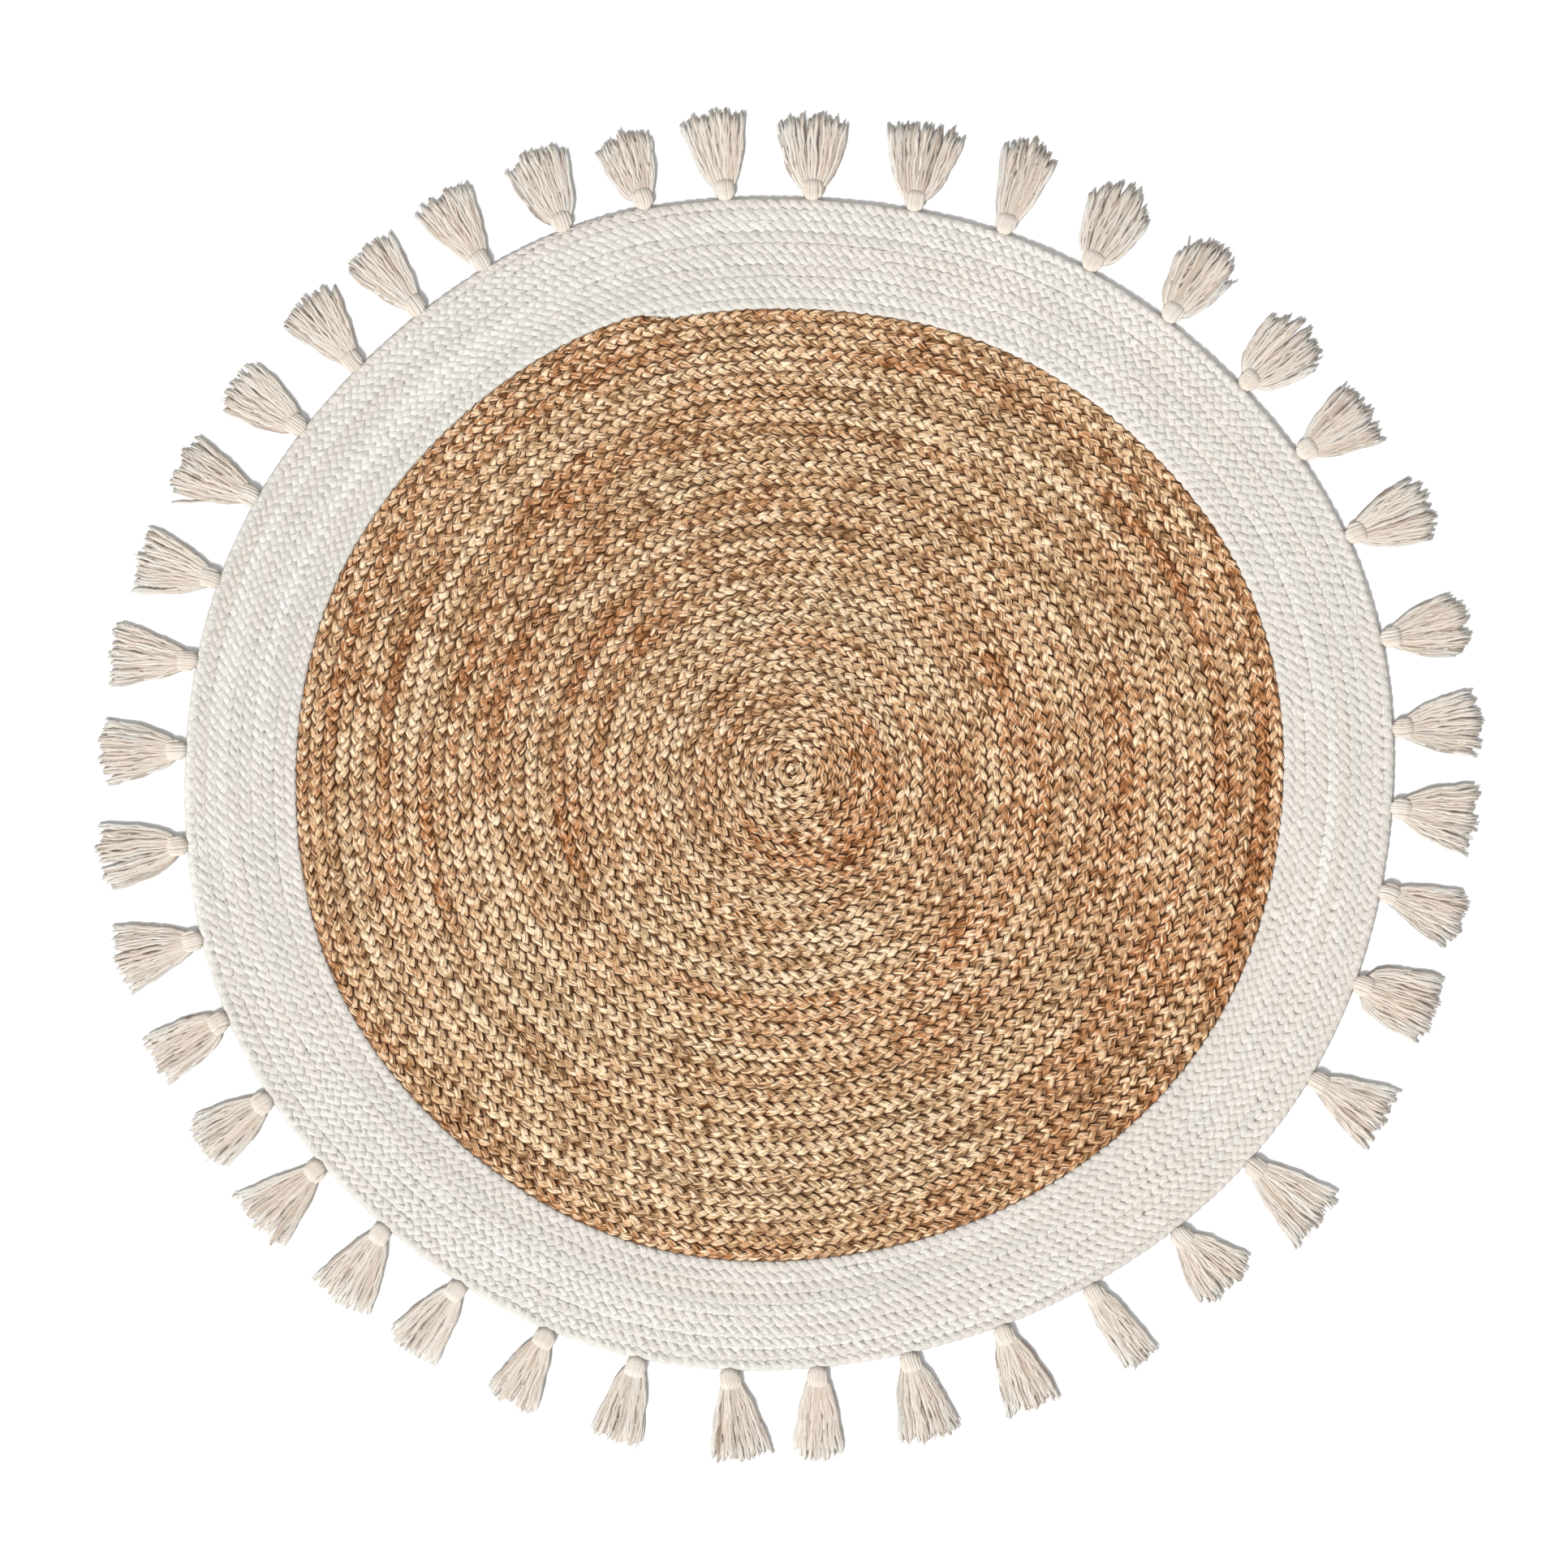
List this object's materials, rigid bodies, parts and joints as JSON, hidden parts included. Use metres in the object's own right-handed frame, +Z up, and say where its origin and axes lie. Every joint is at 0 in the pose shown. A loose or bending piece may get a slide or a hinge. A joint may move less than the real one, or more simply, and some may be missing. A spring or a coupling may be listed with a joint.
{
  "type": "round braided jute rug with tassels",
  "caption": "Round floor rug of jute braid coiled in a spiral, with a bleached white braid border and cotton tassels round the rim.",
  "frame": {"origin": "middle of the rug's outline, on its flat underside, where it lies on the floor", "axes": "+Z up from the floor through the rug, +Y towards the picture's top, +X towards the picture's right"},
  "size_m": [1.3855, 1.3511, 0.0095],
  "materials": {
    "jute_braid": "matt, coarse natural fibre",
    "bleached_braid": "matt, bleached fibre",
    "cotton_yarn": "matt, soft yarn"
  },
  "bodies": {
    "root": {"jute_field": "jute_braid", "white_border": "bleached_braid", "tassel_01": "cotton_yarn", "tassel_02": "cotton_yarn", "tassel_03": "cotton_yarn", "tassel_04": "cotton_yarn", "tassel_05": "cotton_yarn", "tassel_06": "cotton_yarn", "tassel_07": "cotton_yarn", "tassel_08": "cotton_yarn", "tassel_09": "cotton_yarn", "tassel_10": "cotton_yarn", "tassel_11": "cotton_yarn", "tassel_12": "cotton_yarn", "tassel_13": "cotton_yarn", "tassel_14": "cotton_yarn", "tassel_15": "cotton_yarn", "tassel_16": "cotton_yarn", "tassel_17": "cotton_yarn", "tassel_18": "cotton_yarn", "tassel_19": "cotton_yarn", "tassel_20": "cotton_yarn", "tassel_21": "cotton_yarn", "tassel_22": "cotton_yarn", "tassel_23": "cotton_yarn", "tassel_24": "cotton_yarn", "tassel_25": "cotton_yarn", "tassel_26": "cotton_yarn", "tassel_27": "cotton_yarn", "tassel_28": "cotton_yarn", "tassel_29": "cotton_yarn", "tassel_30": "cotton_yarn", "tassel_31": "cotton_yarn", "tassel_32": "cotton_yarn", "tassel_33": "cotton_yarn", "tassel_34": "cotton_yarn", "tassel_35": "cotton_yarn", "tassel_36": "cotton_yarn", "tassel_37": "cotton_yarn", "tassel_38": "cotton_yarn", "tassel_39": "cotton_yarn", "tassel_40": "cotton_yarn", "tassel_41": "cotton_yarn"}
  },
  "joints": []
}
